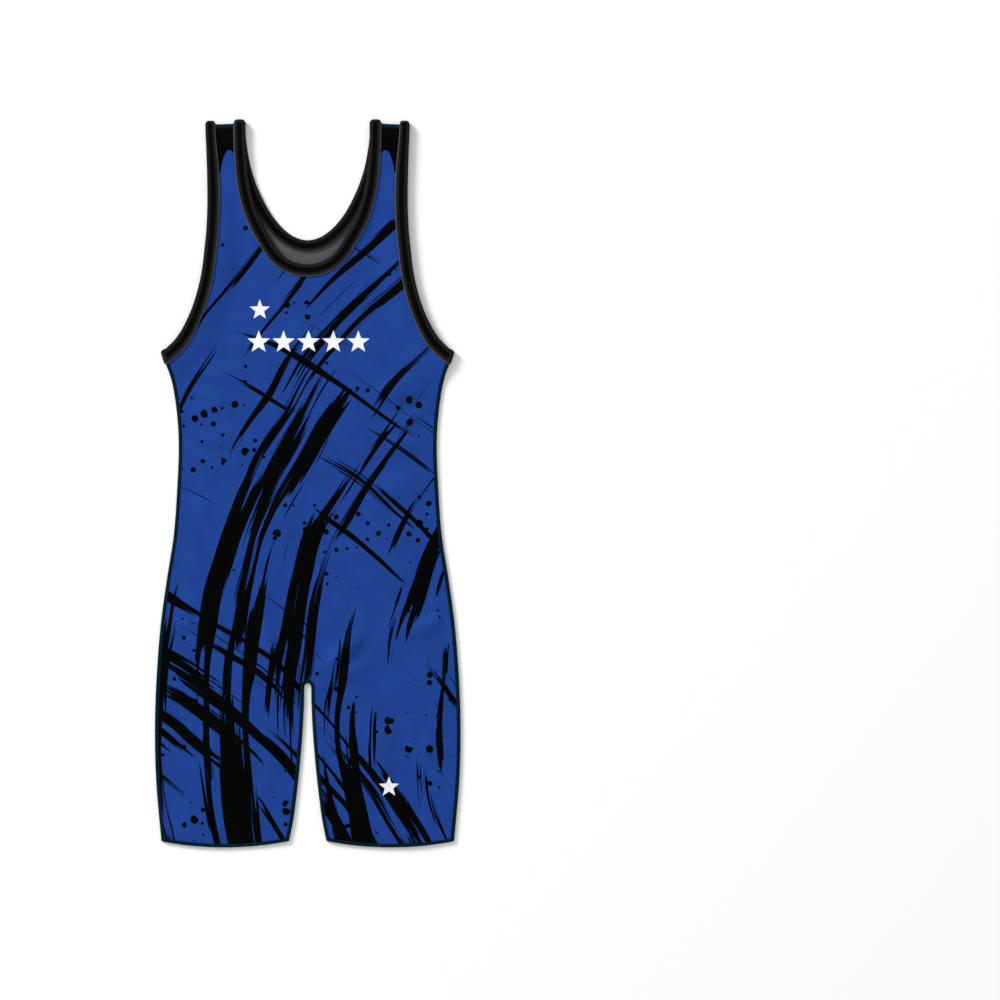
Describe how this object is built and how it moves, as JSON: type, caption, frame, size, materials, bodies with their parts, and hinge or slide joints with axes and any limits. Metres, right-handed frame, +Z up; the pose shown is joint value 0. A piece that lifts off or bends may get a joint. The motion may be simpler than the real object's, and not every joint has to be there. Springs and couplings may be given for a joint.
{
  "type": "wrestling singlet",
  "caption": "Sleeveless one-piece wrestling suit with scooped neck and armholes and mid-thigh legs, laid flat on its back, edges bound with elastic.",
  "frame": {"origin": "under the middle of the garment's box, on the surface that it lies on", "axes": "+Y from the leg hems to the shoulders, +X towards the wearer's left side, +Z up out of the front"},
  "size_m": [0.3512, 0.836, 0.0075],
  "materials": {
    "printed_knit": "smooth stretch knit, blue with a black print, grey inside",
    "binding_elastic": "matt black folded elastic with dark grey edges",
    "seam_thread": "very dark teal sewing thread"
  },
  "bodies": {
    "root": {"front_panel": "printed_knit", "back_panel": "printed_knit", "neck_binding": "binding_elastic", "armhole_binding_left": "binding_elastic", "armhole_binding_right": "binding_elastic"}
  },
  "joints": []
}
